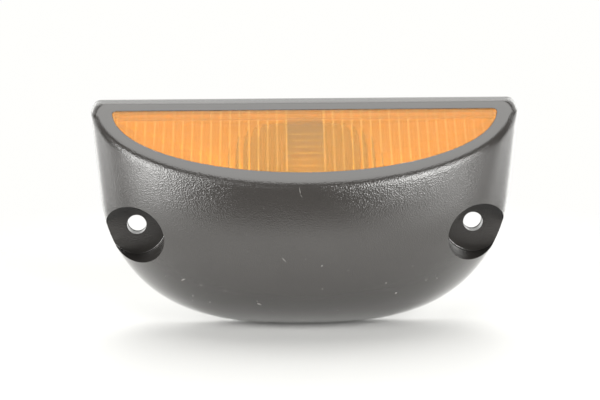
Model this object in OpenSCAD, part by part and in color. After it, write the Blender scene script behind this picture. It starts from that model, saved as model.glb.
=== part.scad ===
// Vehicle indicator lamp: a moulded D-shaped housing with a slanted amber lens along its
// straight top edge, held flat against a panel by two screws in deep wells.
// The lamp stands upright as it is fixed: x across, z up, the mounting face at y = 0
// and the lens side towards -y. The origin is midway between the two fixing holes.

/* [Housing] */
// Width of the housing along its straight top edge
body_w = 126; // [122:1:132]
// Height of the top edge above the line of the fixing holes
top_h = 37; // [36:0.5:39]
// Height of the round bottom edge below the line of the fixing holes
low_h = 31; // [30:0.5:34]
// Greatest depth of the housing, from its back edge to the crown
crown_d = 33.5; // [33:0.5:36]
// Height above the hole line at which the housing is deepest
crown_y = 10.6; // [9:0.2:12]
// Lean of each side wall towards the bottom, in degrees
side_lean = 4.75; // [3.5:0.25:5.5]
// Height above the hole line at which the sides start to curve in
bend_y = 10; // [6:1:14]
// Radius of the two top corners
corner_r = 3; // [2.6:0.1:4]
// Wall thickness of the housing
wall = 2.4; // [2:0.1:2.6]

/* [Rim and lens opening] */
// Depth of the top wall, where the slanted rim begins
rim_start = 3.8; // [3.6:0.1:5]
// Slant of the rim away from the mounting face, in degrees
rim_angle = 56.7; // [55:0.1:57.5]
// Radius of the edge between the rim and the crown
rim_r = 2; // [1:0.25:2.5]
// Width of the rim between the top wall and the lens opening
rim_top_w = 3.95; // [3.8:0.05:5]
// Width of the rim at each end of the lens opening, from the side of the housing
rim_side_w = 6.8; // [6.6:0.1:8]
// Width of the rim between the lens opening and the crown
rim_low_w = 5.02; // [4.9:0.02:6.2]
// Corner radius of the lens opening
lens_r = 1.2; // [0.8:0.1:2]

/* [Lens] */
// Thickness of the lens window
lens_t = 2.6; // [2.2:0.1:2.8]
// Depth of the lens face below the rim
lens_recess = 0.4; // [0.2:0.1:0.8]
// Spacing of the upright flutes on the inner face
flute_pitch = 2.72; // [2.4:0.02:3.2]
// Depth of the upright flutes
flute_depth = 0.35; // [0.2:0.05:0.5]
// Width of the plain strip at the middle, in flutes
plain_flutes = 4; // [2:2:8]
// Spacing of the cross flutes on the outer face
band_pitch = 2.6; // [2.2:0.1:3.4]
// Depth of the cross flutes
band_depth = 0.1; // [0.05:0.05:0.2]
// Width of the flange that bears on the back of the rim
flange_w = 1.2; // [1:0.1:1.3]
// Thickness of that flange
flange_t = 1.2; // [0.9:0.1:1.3]
// Thickness of the seal between the flange and the rim
seal_t = 0.6; // [0.4:0.1:0.8]

/* [Fixing] */
// Distance of each fixing hole from the side of the housing
hole_inset = 13; // [12.6:0.1:14]
// Diameter of the fixing holes
hole_d = 5.8; // [5:0.1:6.6]
// Diameter of the screw wells at their floor
well_d = 17.9; // [16:0.1:18.4]
// Thickness of the floor under each screw head
floor_t = 3.4; // [3:0.1:4.5]
// Draft of the well wall, in degrees
well_draft = 0.5; // [0:0.25:1]
// Wall thickness round each well
well_wall = 2; // [1.6:0.1:2.4]
// Thickness of the mounting gasket
gasket_t = 1.5; // [1.3:0.1:3]

/* [Back cover] */
// Thickness of the back cover
cover_t = 2.5; // [2.2:0.1:2.6]
// Distance of the upper cover screws from the side of the housing
upper_screw_inset = 9; // [8.6:0.2:10]
// Height of the upper cover screws above the hole line
upper_screw_y = 20; // [19:0.5:20.5]
// Distance of the lower cover screws from the middle
lower_screw_x = 26; // [25:0.5:29]
// Height of the lower cover screws below the hole line
lower_screw_y = 16; // [14:0.5:17]
// Shank diameter of the cover screws
screw_d = 3; // [2.5:0.1:3.2]
// Length of the cover screws under the head
screw_len = 9; // [8:0.5:11]
// Distance of the cable grommet from the middle
grommet_x = 28; // [26:0.5:30]
// Height of the cable grommet below the hole line
grommet_y = 4; // [2:0.5:5]
// Bore of the cable grommet
grommet_bore = 5; // [4:0.5:6]

/* [Reflector] */
// Wall thickness of the reflector
mirror_t = 0.9; // [0.7:0.1:1]
// Width of the arched opening round the bulb
arch_w = 38; // [34:0.5:40]
// Height of the top of that opening above the hole line
arch_top = 29.4; // [27:0.2:29.6]
// Height of the foot of that opening below the hole line
arch_low = 6; // [5:0.5:6.5]
// Corner radius of the top of that opening
arch_r = 10; // [8:0.5:12]

/* [Bulb and holder] */
// Depth of the bulb's axis from the back of the housing
bulb_z = 11.8; // [11.7:0.1:12]
// Clearance between the bracket and the lower wall of the housing
holder_gap = 0.6; // [0.5:0.1:1]
// Diameter of the glass globe
globe_d = 18.5; // [17:0.5:19]
// Diameter of the bulb's cap
cap_d = 15; // [14.8:0.1:15.2]
// Wall thickness of the holder's sleeve
sleeve_t = 0.5; // [0.4:0.1:0.6]
// Thickness of the sheet steel bracket
sheet_t = 0.8; // [0.6:0.1:0.8]
// Width of the sheet steel bracket's foot
foot_w = 32; // [30:1:34]

/* [Hidden] */
$fn = 48;

// Clearance between parts that slip into one another
fit = 0.3;
// Small overshoot of a cutting shape
over = 1;
// Overlap of neighbouring flutes
merge = 0.03;
// Steps in which the lowest point of the rim is found
halvings = 30;
// Share of the way over the skin at which its run into the rim is taken
near_share = 0.9;

// Shape of the outline's lower curve and of the crown
bend_pow = 2.13;
bend_round = 3.125;
crown_round = 1.8;
crown_rise = 43;
section_top = 2.98;
section_mid = 2.23;
section_reach = 1.6;

// Size of the lens opening and places of the holes and upper screws
slant_h = (top_h - cut_low(0, crown_y, top_h, halvings))/cos(rim_angle);
lens_w = body_w - 2*rim_side_w;
lens_h = slant_h - rim_top_w - rim_low_w;
hole_spacing = body_w - 2*hole_inset;
upper_screw_x = body_w/2 - upper_screw_inset;

// Stations round the outline, from the middle of the top to the middle of the bottom
top_n = 7;
corner_n = 4;
side_n = 24;
skin_n = 9;
inner_n = 6;
dish_n = 8;
edge_n = 4;
half_stations = concat(
    [for (i = [0:top_n - 1]) [0, i/top_n, 1]],
    [for (i = [0:corner_n - 1]) [1, i/corner_n, 1]],
    [for (i = [0:side_n]) [2, i/side_n, 1]]
);
last_station = len(half_stations) - 1;
stations = concat(
    half_stations,
    [for (i = [last_station - 1:-1:1]) [half_stations[i][0], half_stations[i][1], -1]]
);

// Levels below the face of the rim, measured square to it
seal_h = wall;
flange_h = seal_h + seal_t;
mirror_h = flange_h + flange_t;
lens_back_h = lens_recess + lens_t;
lens_bevel = 0.3;
lens_gap = 0.2;
skirt_w = 1.7;
mirror_lip = 0.8;
notch_r = globe_d/2 + 1.2;
notch_y = 7;

// Height and width of the step round the front of the back cover
cover_step = 1.2;

// Mounting gasket
gasket_inset = 0.8;
gasket_w = 3.4;

// Screw heads and bosses
boss_wall = 1.7;
boss_r = screw_d/2 + boss_wall;
pilot_r = screw_d/2 + 0.05;
head_r = screw_d/2 + 1.4;
head_h = 1.4;
slot_depth = 0.7;
slot_half = 1.5;
slot_wide = 0.7;
pocket_h = head_h + 0.1;
cover_screw_places = [
    [upper_screw_x, upper_screw_y], [-upper_screw_x, upper_screw_y],
    [lower_screw_x, -lower_screw_y], [-lower_screw_x, -lower_screw_y]
];

// Cable grommet
grommet_wall = 1.5;
grommet_r = grommet_bore/2 + grommet_wall;
lip_w = 1;
lip_t = 1;

// Bulb, measured along its axis from the contact end
tip_u = 38.5;
cap_top_u = 17.5;
cap_low_u = 4;
cap_t = 0.4;
pin_u = 8;
pin_r = 1;
pin_out = 1;
pin_root = 0.6;
insulator_low_u = 1.5;
button_r = 2.5;
button_low_u = 0;
neck_r = cap_d/2 - cap_t;
globe_u = tip_u - globe_d/2;
glass_t = 0.6;
glass_step = 1.2;
collar_h = 2;
stem_r = 2.6;
stem_h = 6;
cap_lip = 1;
cap_lip_t = 0.4;
vitrite_r = neck_r - cap_lip - cap_lip_t;
button_taper = 0.6;

// Holder, measured along the same axis
sleeve_gap = 0.2;
sleeve_in_r = cap_d/2 + sleeve_gap;
sleeve_r = sleeve_in_r + sleeve_t;
sleeve_top_u = 13;
sleeve_step_u = -1.8;
sleeve_end_u = -5.6;
throat_r = 3.6;
slot_w = 2*pin_r + 0.4;
slot_turn = 35;
slot_end = 8;
disc_t = 1;
disc_top_u = -0.6;
disc_low_u = disc_top_u - disc_t;
plunger_r = 1.4;
plunger_end_u = -7.6;
spring_wire_r = 0.3;
spring_r = 2.4;
spring_turns = 3;
tag_reach = 10;
tag_r = 2.2;
tag_w = 2.8;
shelf_margin = 1.05;
shelf_half = 10;
shelf_u = -0.45;
shelf_reach = bulb_z + sleeve_r + shelf_margin + holder_gap;
shelf_low_y = inner_low_y(shelf_reach) + sheet_t;
plunger_low_y = inner_low_y(bulb_z + tag_r) + holder_gap - plunger_end_u + shelf_u;
shelf_y = max(shelf_low_y, plunger_low_y);
bulb_foot_y = shelf_y - shelf_u;
foot_h = 7.7;
rivet_x = 12.5;
rivet_y = shelf_y + foot_h/2;
rivet_r = 1.3;
rivet_head_r = 2.2;
rivet_head_h = 0.7;
rivet_taper = 0.7;
blade_w = 6.3;
blade_t = 0.8;
earth_reach = 9.5;
earth_back = 3.4;

// Value v held between lo and hi
function clamp(v, lo, hi) = min(max(v, lo), hi);

// Radius of a round flute of that pitch and depth, a hair wider than the pitch
function arc_r(pitch, depth) = (pow(pitch/2 + merge, 2) + depth*depth)/(2*depth);

// Half the width, at height y, of a skin that lies o inside the outer one
function half_w(y, o) =
    (body_w/2 - (top_h - y)*tan(side_lean) - o)
    * pow(1 - pow(clamp((bend_y - y)/(bend_y + low_h - o), 0, 1), bend_pow), 1/bend_round);

// Greatest depth of that skin at height y
function crown(y, o) = (crown_d - o)*(y < crown_y
    ? pow(max(0, 1 - pow((crown_y - y)/(crown_y + low_h - o), 2)), 1/crown_round)
    : sqrt(1 - pow((y - crown_y)/crown_rise, 2)));

// Height of the housing's inner skin below the crown, at the middle and at depth z
function inner_low_y(z) =
    crown_y - (crown_y + low_h - wall)*sqrt(1 - pow(z/(crown_d - wall), crown_round));

// How square the crown's level section is at height y
function section_pow(y) =
    section_top + (section_mid - section_top)*clamp((top_h - y)/top_h, 0, section_reach);

// Depth of the uncut skin over a point of the back
function dome(x, y, o) =
    let (w = max(half_w(y, o), 0.01))
    crown(y, o)*pow(max(0, 1 - pow(min(abs(x)/w, 1), 2)), 1/section_pow(y));

// Depth of the rim's plane at height y, for a skin that lies o inside
function rim_z(y, o) = rim_start + (top_h - y)*tan(rim_angle) - o/cos(rim_angle);

// Half the length of the level line at which the crown meets the rim's plane
function cut_x(y, o) =
    half_w(y, o)*sqrt(max(0, 1 - pow(rim_z(y, o)/crown(y, o), section_pow(y))));

// Lowest height at which the crown meets the rim's plane, found by halving
function cut_low(o, lo, hi, steps) =
    let (mid = (lo + hi)/2)
    steps == 0 ? mid
    : rim_z(mid, o) > crown(mid, o) ? cut_low(o, mid, hi, steps - 1)
    : cut_low(o, lo, mid, steps - 1);

// Point x across, s down the slant and h out of the rim's plane
function on_rim(p, h) = [
    p[0],
    top_h - p[1]*cos(rim_angle) + h*sin(rim_angle),
    rim_start + p[1]*sin(rim_angle) + h*cos(rim_angle)
];

// Outline of the back for a skin that lies o inside
function outline_at(st, o) =
    let (
        top = top_h - o,
        r = max(corner_r - o, 0.4),
        side_y = top - r,
        cx = half_w(side_y, o) - r,
        turn = 90*st[1],
        y = side_y - (side_y + low_h - o)*sin(turn)
    )
    st[0] == 0 ? [st[2]*cx*st[1], top]
    : st[0] == 1 ? [st[2]*(cx + r*sin(turn)), side_y + r*cos(turn)]
    : [st[2]*half_w(y, o), y];

// Edge along which that skin meets the rim's plane
function cut_at(st, o, low) =
    let (
        top = top_h - o,
        r = max(corner_r - o, 0.4),
        side_y = top - r,
        cx = cut_x(side_y, o) - r,
        turn = 90*st[1],
        y = side_y - (side_y - low)*sin(turn),
        p = st[0] == 0 ? [cx*st[1], top]
            : st[0] == 1 ? [cx + r*sin(turn), side_y + r*cos(turn)]
            : [cut_x(y, o), y]
    )
    [st[2]*p[0], p[1], rim_z(p[1], o)];

// Lens outline in the rim's plane, e wider all round: x across and s down the slant
function lens_at(st, e) =
    let (
        a = lens_w/2 + e,
        b = lens_h + e,
        r = max(lens_r + e, 0.3),
        start = asin((r - e)/b),
        cx = a*cos(start) - r,
        turn = 90*st[1],
        phi = start + (90 - start)*st[1],
        p = st[0] == 0 ? [cx*st[1], 0]
            : st[0] == 1 ? [cx + r*sin(turn), r - r*cos(turn)]
            : [a*cos(phi), e + b*sin(phi)]
    )
    [st[2]*p[0], rim_top_w - e + p[1]];

// Arched opening of the reflector, e wider all round
function arch_at(st, e) =
    let (
        w = arch_w/2 + e,
        r = arch_r + e,
        top = arch_top + e,
        side_y = top - r,
        turn = 90*st[1],
        p = st[0] == 0 ? [(w - r)*st[1], top]
            : st[0] == 1 ? [w - r + r*sin(turn), side_y + r*cos(turn)]
            : [w*sqrt(cos(turn)), side_y - (side_y + arch_low + e)*pow(sin(turn), 0.8)]
    )
    [st[2]*p[0], p[1]];

// Point of the skin a share g of the way from the back edge p to the cut edge q
function skin_at(st, p, q, g, o) =
    let (x = p[0] + (q[0] - p[0])*g, y = p[1] + (q[1] - p[1])*g)
    st[0] == 2 ? [x, y, dome(x, y, o)] : [x, y, q[2]*g];

// Rounded corner at q between the points e and f
function round_at(e, q, f, u) = (1 - u)*(1 - u)*e + 2*u*(1 - u)*q + u*u*f;

// Skin from the back edge to the rounded edge of the rim, o inside
function outer_rib(st, low) =
    let (
        p = outline_at(st, 0),
        q = cut_at(st, 0, low),
        near = skin_at(st, p, q, near_share, 0),
        run = norm(q - near)/(1 - near_share),
        stop = 1 - min(rim_r/run, 0.5),
        e = skin_at(st, p, q, stop, 0),
        edge = on_rim(lens_at(st, lens_bevel), 0),
        f = q + (edge - q)*min(rim_r/norm(edge - q), 0.5)
    )
    concat(
        [for (j = [0:skin_n - 1]) skin_at(st, p, q, stop*pow(j/skin_n, st[0] == 2 ? 2 : 1), 0)],
        [for (j = [0:edge_n]) round_at(e, q, f, j/edge_n)],
        [edge, on_rim(lens_at(st, 0), -lens_bevel)]
    );

// Inner skin from the lens opening back to the mounting side
function inner_rib(st, low) =
    let (p = outline_at(st, wall), q = cut_at(st, wall, low))
    concat(
        [on_rim(lens_at(st, 0), -wall)],
        [for (j = [inner_n:-1:0]) skin_at(st, p, q, pow(j/inner_n, st[0] == 2 ? 2 : 1), wall)]
    );

// One closed section of the reflector: dish, foot, back of the dish and flange
function mirror_rib(st) =
    let (
        a = on_rim(lens_at(st, -mirror_lip), -mirror_h),
        b = arch_at(st, 0),
        c = on_rim(lens_at(st, mirror_t - mirror_lip), -mirror_h - mirror_t),
        d = arch_at(st, mirror_t)
    )
    concat(
        [for (j = [0:dish_n]) dish_at(a, b, j/dish_n)],
        [for (j = [dish_n:-1:0]) dish_at(c, d, j/dish_n)],
        [on_rim(lens_at(st, flange_w), -mirror_h - mirror_t), on_rim(lens_at(st, flange_w), -mirror_h)]
    );

// Point of the dish a share g of the way from the lens side a to the foot b
function dish_at(a, b, g) =
    let (s = sin(90*g))
    [a[0] + (b[0] - a[0])*s, a[1] + (b[1] - a[1])*s, cover_t + (a[2] - cover_t)*cos(90*g)];

// Solid swept through closed sections that follow one another in a ring
module ring_of(sections) {
    n = len(sections);
    m = len(sections[0]);
    points = [for (s = sections) each s];
    faces = [
        for (i = [0:n - 1], j = [0:m - 1])
            let (here = i*m, there = (i + 1)%n*m, next = (j + 1)%m)
            each [[here + j, there + next, here + next], [here + j, there + j, there + next]]
    ];
    polyhedron(points, faces, convexity = 8);
}

// Solid filling the skin that lies o inside, closed by the back and by the rim's plane
module filled_skin(o) {
    low = cut_low(o, crown_y, top_h, halvings);
    n = len(stations);
    ribs = [
        for (st = stations)
            let (p = outline_at(st, o), q = cut_at(st, o, low))
            [for (j = [0:inner_n]) skin_at(st, p, q, pow(j/inner_n, st[0] == 2 ? 2 : 1), o)]
    ];
    m = inner_n + 1;
    points = [for (r = ribs) each r];
    sides = [
        for (i = [0:n - 1], j = [0:m - 2])
            let (a = i*m + j, b = a + 1, d = ((i + 1)%n)*m + j, c = d + 1)
            each [[a, c, b], [a, d, c]]
    ];
    back = [for (i = [n - 1:-1:0]) i*m];
    front = [for (i = [0:n - 1]) i*m + m - 1];
    polyhedron(points, concat(sides, [back, front]), convexity = 4);
}

// Puts a piece modelled on its back, z outward, upright against the panel
module stand() {
    translate([0, -gasket_t, 0]) rotate([90, 0, 0]) children();
}

// Puts a shape drawn in the rim's plane, y up the slant and z outward, in its place
module in_rim() {
    translate([0, top_h, rim_start]) rotate([-rim_angle, 0, 0]) children();
}

// Puts a shape turned about z on the bulb's axis, z towards the tip
module on_bulb() {
    stand() translate([0, bulb_foot_y, bulb_z]) rotate([-90, 0, 0]) children();
}

// Lens outline, e wider all round, as a flat shape in the rim's plane
module lens_shape(e) {
    polygon([for (st = stations) let (p = lens_at(st, e)) [p[0], -p[1]]]);
}

// Outline of the back, o inside, as a flat shape
module back_shape(o) {
    polygon([for (st = stations) outline_at(st, o)]);
}

// Places at the left and right fixing holes
module at_holes() {
    for (side = [-1, 1]) translate([side*hole_spacing/2, 0, 0]) children();
}

module housing() {
    low = cut_low(0, crown_y, top_h, halvings);
    inner_low = cut_low(wall, crown_y, top_h, halvings);
    well_reach = crown_d + over;
    color("#262626") stand() difference() {
        union() {
            ring_of([for (st = stations) concat(outer_rib(st, low), inner_rib(st, inner_low))]);
            intersection() {
                union() {
                    at_holes() cylinder(r = well_d/2 + well_wall, h = crown_d);
                    for (p = cover_screw_places) translate([p[0], p[1], cover_t])
                        cylinder(r = boss_r, h = crown_d);
                }
                filled_skin(wall/2);
            }
        }
        at_holes() translate([0, 0, floor_t])
            cylinder(r1 = well_d/2, r2 = well_d/2 + well_reach*tan(well_draft), h = well_reach);
        at_holes() translate([0, 0, -over]) cylinder(d = hole_d, h = floor_t + 2*over);
        for (p = cover_screw_places) translate([p[0], p[1], cover_t - over])
            cylinder(r = pilot_r, h = screw_len + over);
    }
}

module lens() {
    bands = floor(lens_h/band_pitch);
    band_r = arc_r(band_pitch, band_depth);
    band_x = lens_recess + band_depth - band_r;
    color("#f08a1e") stand() in_rim() difference() {
        union() {
            translate([0, 0, -mirror_h]) linear_extrude(mirror_h - lens_recess) lens_shape(-lens_gap);
            translate([0, 0, -mirror_h]) linear_extrude(flange_t) lens_shape(flange_w);
        }
        intersection() {
            translate([0, 0, -2*mirror_h]) linear_extrude(2*mirror_h) lens_shape(-lens_gap - skirt_w);
            fluted_core();
        }
        rotate([0, 90, 0]) linear_extrude(lens_w + 2*over, center = true) union()
            for (k = [0:bands - 1]) translate([band_x, -rim_top_w - (k + 0.5)*band_pitch])
                circle(r = band_r, $fn = 2*$fn);
    }
}

// Core that shapes the inside of the lens: flat at the middle, with round ribs at both sides
module fluted_core() {
    flute_r = arc_r(flute_pitch, flute_depth);
    first = plain_flutes/2;
    count = floor((lens_w/2 - skirt_w)/flute_pitch - first);
    length = lens_h + 2*rim_top_w;
    rotate([90, 0, 0]) linear_extrude(length) union() {
        translate([-lens_w/2, -lens_back_h - 2*mirror_h]) square([lens_w, 2*mirror_h]);
        for (side = [-1, 1], k = [0:count - 1])
            translate([side*(first + k + 0.5)*flute_pitch, flute_depth - lens_back_h - flute_r])
                circle(r = flute_r);
    }
}

module lens_seal() {
    color("#202020") stand() in_rim() translate([0, 0, -flange_h]) linear_extrude(seal_t) difference() {
        lens_shape(flange_w);
        lens_shape(0);
    }
}

module reflector() {
    color("#dcdcdc") stand() difference() {
        ring_of([for (st = stations) mirror_rib(st)]);
        translate([0, -low_h, bulb_z]) rotate([-90, 0, 0]) cylinder(r = notch_r, h = low_h + notch_y);
        translate([-notch_r, -low_h, 0]) cube([2*notch_r, low_h + notch_y, bulb_z]);
    }
}

module back_cover() {
    color("#303030") stand() difference() {
        union() {
            linear_extrude(cover_step) back_shape(wall + fit);
            linear_extrude(cover_t) back_shape(wall + fit + cover_step);
        }
        at_holes() translate([0, 0, -over]) cylinder(r = well_d/2 + well_wall + fit, h = cover_t + 2*over);
        for (p = cover_screw_places) translate([p[0], p[1], -over]) {
            cylinder(r = screw_d/2 + fit/2, h = cover_t + 2*over);
            cylinder(r = head_r + fit/2, h = pocket_h + over);
        }
        for (side = [-1, 1]) translate([side*rivet_x, rivet_y, -over])
            cylinder(r = rivet_r, h = cover_t + 2*over);
        translate([grommet_x, -grommet_y, -over]) cylinder(r = grommet_r, h = cover_t + 2*over);
    }
}

module mounting_gasket() {
    pad_r = well_d/2 + well_wall;
    color("#3a3a38") stand() translate([0, 0, -gasket_t]) linear_extrude(gasket_t) difference() {
        back_shape(gasket_inset);
        difference() {
            back_shape(gasket_inset + gasket_w);
            at_holes() circle(r = pad_r);
        }
        at_holes() circle(d = hole_d);
    }
}

module cover_screws() {
    color("silver") stand() for (p = cover_screw_places) translate([p[0], p[1], pocket_h - head_h])
        difference() {
            union() {
                cylinder(r = head_r, h = head_h);
                cylinder(d = screw_d, h = head_h + screw_len - over);
            }
            for (turn = [0, 90]) rotate(turn) translate([-slot_half, -slot_wide/2, -over])
                cube([2*slot_half, slot_wide, over + slot_depth]);
        }
}

module cable_grommet() {
    color("#1c1c1c") stand() translate([grommet_x, -grommet_y, 0]) rotate_extrude() polygon([
        [grommet_bore/2, -lip_t], [grommet_r + lip_w, -lip_t], [grommet_r + lip_w, 0], [grommet_r, 0],
        [grommet_r, cover_t], [grommet_r + lip_w, cover_t], [grommet_r + lip_w/2, cover_t + 2*lip_t],
        [grommet_bore/2, cover_t + 2*lip_t]
    ]);
}

module holder_bracket() {
    ring_r = sleeve_r + shelf_margin;
    color("#c8c8c4") stand() difference() {
        union() {
            translate([-foot_w/2, shelf_y - sheet_t, cover_t])
                cube([foot_w, foot_h + sheet_t, sheet_t]);
            translate([0, shelf_y, 0]) rotate([90, 0, 0]) linear_extrude(sheet_t) union() {
                translate([0, bulb_z]) circle(r = ring_r);
                translate([-shelf_half, cover_t]) square([2*shelf_half, bulb_z - cover_t]);
            }
        }
        translate([0, shelf_y + over, bulb_z]) rotate([90, 0, 0])
            cylinder(r = sleeve_r, h = sheet_t + 2*over);
        for (side = [-1, 1]) translate([side*rivet_x, rivet_y, cover_t - over])
            cylinder(r = rivet_r, h = sheet_t + 2*over);
    }
}

module bracket_rivets() {
    color("#b8b8b4") stand() for (side = [-1, 1]) translate([side*rivet_x, rivet_y, 0]) {
        grip = cover_t + sheet_t + (side > 0 ? blade_t : 0);
        translate([0, 0, -rivet_head_h])
            cylinder(r1 = rivet_head_r*rivet_taper, r2 = rivet_head_r, h = rivet_head_h);
        cylinder(r = rivet_r, h = grip);
        translate([0, 0, grip]) cylinder(r1 = rivet_head_r, r2 = rivet_head_r*rivet_taper, h = rivet_head_h);
    }
}

module bulb_socket() {
    color("#cfc9b0") on_bulb() difference() {
        rotate_extrude() polygon([
            [sleeve_in_r, sleeve_top_u], [sleeve_r, sleeve_top_u], [sleeve_r, sleeve_step_u - sleeve_t],
            [throat_r, sleeve_step_u - sleeve_t], [throat_r, sleeve_end_u - sleeve_t],
            [plunger_r + fit, sleeve_end_u - sleeve_t], [plunger_r + fit, sleeve_end_u],
            [throat_r - sleeve_t, sleeve_end_u], [throat_r - sleeve_t, sleeve_step_u],
            [sleeve_in_r, sleeve_step_u]
        ]);
        for (turn = [0, 180]) rotate(turn) {
            rotate(slot_turn) translate([0, -slot_w/2, pin_u])
                cube([sleeve_r + over, slot_w, sleeve_top_u - pin_u + over]);
            rotate(-slot_end) translate([0, 0, pin_u - slot_w/2])
                rotate_extrude(angle = slot_turn + 1.5*slot_end)
                    translate([sleeve_in_r - over, 0]) square([sleeve_t + 2*over, slot_w]);
        }
    }
}

module contact_disc() {
    color("#7a4a28") on_bulb() translate([0, 0, disc_low_u]) difference() {
        cylinder(r = sleeve_in_r - fit, h = disc_t);
        translate([0, 0, -over]) cylinder(r = plunger_r, h = disc_t + 2*over);
    }
}

module centre_contact() {
    color("#d2aa50") on_bulb() {
        translate([0, 0, disc_top_u]) cylinder(r = button_r, h = button_low_u - disc_top_u);
        translate([0, 0, plunger_end_u]) cylinder(r = plunger_r, h = disc_top_u - plunger_end_u);
    }
}

module contact_spring() {
    sides = 6;
    per_turn = 14;
    low = sleeve_end_u + spring_wire_r;
    high = disc_low_u - spring_wire_r;
    steps = spring_turns*per_turn;
    rings = [
        for (i = [0:steps])
            let (turn = 360*i/per_turn, z = low + (high - low)*i/steps)
            [for (k = [0:sides - 1])
                let (a = 360*k/sides, r = spring_r + spring_wire_r*cos(a))
                [r*cos(turn), r*sin(turn), z + spring_wire_r*sin(a)]]
    ];
    color("#b0b4b8") on_bulb() swept(rings);
}

// Solid swept through closed rings, with a flat end at the first and the last
module swept(rings) {
    n = len(rings);
    m = len(rings[0]);
    sides = [
        for (i = [0:n - 2], k = [0:m - 1])
            let (a = i*m + k, b = i*m + (k + 1)%m, c = b + m, d = a + m)
            each [[a, c, b], [a, d, c]]
    ];
    first = [for (k = [0:m - 1]) k];
    last = [for (k = [m - 1:-1:0]) (n - 1)*m + k];
    polyhedron([for (r = rings) each r], concat(sides, [first, last]), convexity = 6);
}

module supply_terminal() {
    color("#d2aa50") on_bulb() translate([0, 0, plunger_end_u]) difference() {
        union() {
            cylinder(r = tag_r, h = blade_t);
            translate([-tag_reach, -tag_w/2, 0]) cube([tag_reach, tag_w, blade_t]);
        }
        translate([0, 0, -over]) cylinder(r = plunger_r, h = blade_t + 2*over);
    }
}

module earth_terminal() {
    color("#d2aa50") stand() translate([rivet_x, rivet_y, cover_t + sheet_t]) difference() {
        translate([-earth_back, -blade_w/2, 0]) cube([earth_back + earth_reach, blade_w, blade_t]);
        translate([0, 0, -over]) cylinder(r = rivet_r, h = blade_t + 2*over);
    }
}

// Outside of the glass above the cap, as a half section
module glass_section(inset) {
    r = globe_d/2 - inset;
    neck = neck_r - glass_step - inset;
    low_u = cap_top_u - collar_h + inset;
    union() {
        intersection() {
            translate([0, globe_u]) circle(r = r);
            translate([0, globe_u - r]) square([r, 2*r]);
        }
        translate([0, low_u]) square([neck, globe_u - low_u]);
    }
}

module bulb_glass() {
    collar_low_u = cap_top_u - collar_h;
    color([0.9, 0.93, 0.95, 0.4]) on_bulb() rotate_extrude() difference() {
        union() {
            glass_section(0);
            translate([0, collar_low_u]) square([neck_r, cap_top_u - collar_low_u]);
        }
        glass_section(glass_t);
        translate([0, collar_low_u - over]) square([neck_r - glass_step - glass_t, 2*over]);
    }
}

module bulb_stem() {
    flare_r = neck_r - glass_step - glass_t;
    flare_h = 0.8;
    color([0.85, 0.9, 0.92, 0.5]) on_bulb() translate([0, 0, cap_top_u - collar_h])
        rotate_extrude() polygon([
            [0, 0], [flare_r, 0], [flare_r, flare_h], [stem_r, 2.5*flare_h], [stem_r/2, stem_h], [0, stem_h]
        ]);
}

module filament() {
    sides = 5;
    per_turn = 8;
    turns = 7;
    coil_r = 0.6;
    wire_r = 0.12;
    length = 5;
    steps = turns*per_turn;
    rings = [
        for (i = [0:steps])
            let (turn = 360*i/per_turn, x = -length/2 + length*i/steps)
            [for (k = [0:sides - 1])
                let (a = 360*k/sides, r = coil_r + wire_r*cos(a))
                [x + wire_r*sin(a), r*cos(turn), r*sin(turn)]]
    ];
    color("#8a8a88") on_bulb() translate([0, 0, globe_u]) swept(rings);
}

module filament_leads() {
    lead_r = 0.25;
    top_u = globe_u + 0.3;
    foot_u = cap_top_u - collar_h + stem_h;
    spread = 2.9;
    foot_x = stem_r/2 - lead_r;
    color("#9c9c98") on_bulb() for (side = [-1, 1]) hull() {
        translate([side*foot_x, 0, foot_u]) cylinder(r = lead_r, h = 0.5, $fn = 12);
        translate([side*spread, 0, top_u - 0.5]) cylinder(r = lead_r, h = 0.5, $fn = 12);
    }
}

module bulb_cap() {
    color("#d8c27a") on_bulb() difference() {
        rotate_extrude() polygon([
            [neck_r, cap_top_u], [cap_d/2, cap_top_u], [cap_d/2, cap_low_u],
            [neck_r - cap_lip, cap_low_u - cap_lip], [vitrite_r, cap_low_u - cap_lip], [vitrite_r, cap_low_u],
            [neck_r, cap_low_u + cap_lip]
        ]);
        translate([0, 0, pin_u]) rotate([0, 90, 0]) cylinder(r = pin_r, h = 2*cap_d, center = true);
    }
}

module bayonet_pins() {
    root = neck_r - pin_root;
    color("#d8c27a") on_bulb() for (side = [0, 180]) rotate(side)
        translate([root, 0, pin_u]) rotate([0, 90, 0]) cylinder(r = pin_r, h = cap_d/2 + pin_out - root);
}

module cap_insulator() {
    color("#20201f") on_bulb() rotate_extrude() polygon([
        [0, insulator_low_u], [button_r + cap_lip, insulator_low_u], [vitrite_r, cap_low_u - cap_lip],
        [vitrite_r, cap_low_u], [0, cap_low_u]
    ]);
}

module cap_contact() {
    color("#bdbdb8") on_bulb() cylinder(r1 = button_r - button_taper, r2 = button_r, h = insulator_low_u);
}

housing();
lens();
lens_seal();
reflector();
back_cover();
mounting_gasket();
cover_screws();
cable_grommet();
holder_bracket();
bracket_rivets();
bulb_socket();
contact_disc();
centre_contact();
contact_spring();
supply_terminal();
earth_terminal();
bulb_glass();
bulb_stem();
filament();
filament_leads();
bulb_cap();
bayonet_pins();
cap_insulator();
cap_contact();
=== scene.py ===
"""Dresses the indicator lamp: a smooth grained housing, a fluted amber lens and what lies behind it."""
import math

import bmesh
import bpy
import numpy as np
from mathutils import Matrix, Vector


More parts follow.
